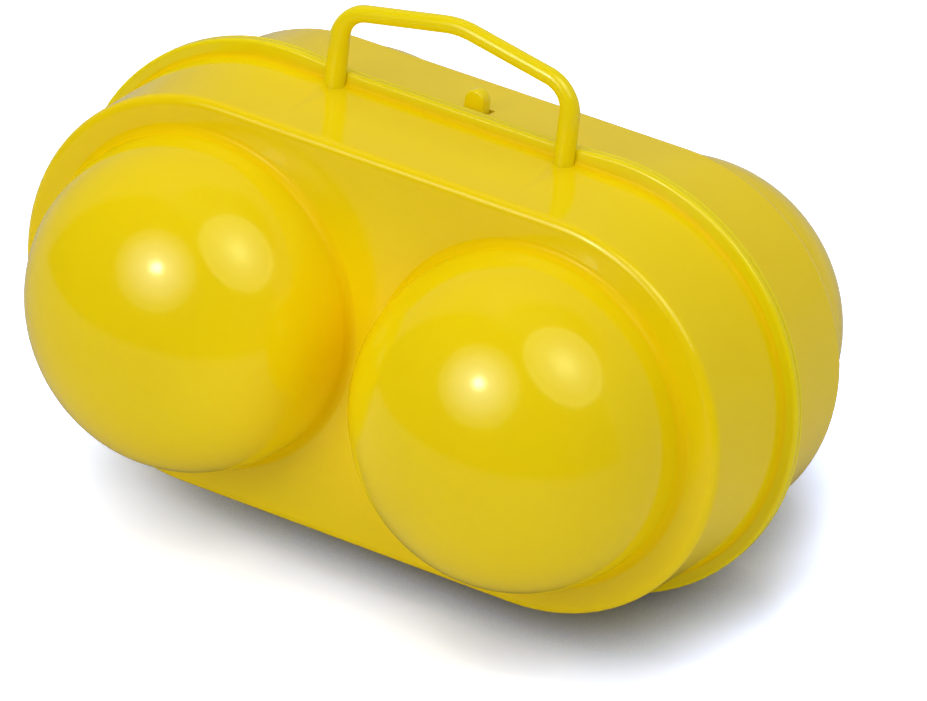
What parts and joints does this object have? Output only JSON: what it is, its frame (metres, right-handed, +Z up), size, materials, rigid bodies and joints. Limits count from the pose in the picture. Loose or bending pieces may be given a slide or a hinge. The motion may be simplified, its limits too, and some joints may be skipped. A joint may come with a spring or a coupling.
{
  "type": "egg holder",
  "caption": "Moulded carrying case for a pair of eggs: hinged half shells with egg domes, a fixed bail handle and a press latch.",
  "frame": {"origin": "on the surface that the case stands on, half way along and across the closed case's bounding box", "axes": "+X along the case, from one egg to the other; -Y towards the front shell and the viewer; +Z up, with the case leaning back on its hinge and rear rim as in the picture"},
  "size_m": [0.1142, 0.0822, 0.0735],
  "materials": {
    "yellow_plastic": "glossy moulded plastic, slightly translucent",
    "pin_wire": "drawn stainless wire"
  },
  "bodies": {
    "rear_half": {"rear_shell": "yellow_plastic", "hinge_pin_left": "pin_wire", "hinge_pin_right": "pin_wire"},
    "front_half": {"front_shell": "yellow_plastic", "carry_handle": "yellow_plastic"},
    "latch": {"latch_tongue": "yellow_plastic"}
  },
  "joints": [
    {"name": "case_hinge", "type": "hinge", "parent": "rear_half", "child": "front_half", "pos_m": [0, -0.00671, 0.00135], "axis": [1, 0, 0], "range_deg": [0, 180]},
    {"name": "latch_press", "type": "hinge", "parent": "front_half", "child": "latch", "pos_m": [0, -0.00524, 0.0576], "axis": [1, 0, 0], "range_deg": [-8, 0], "stiffness_Nm_per_rad": 0.2}
  ]
}
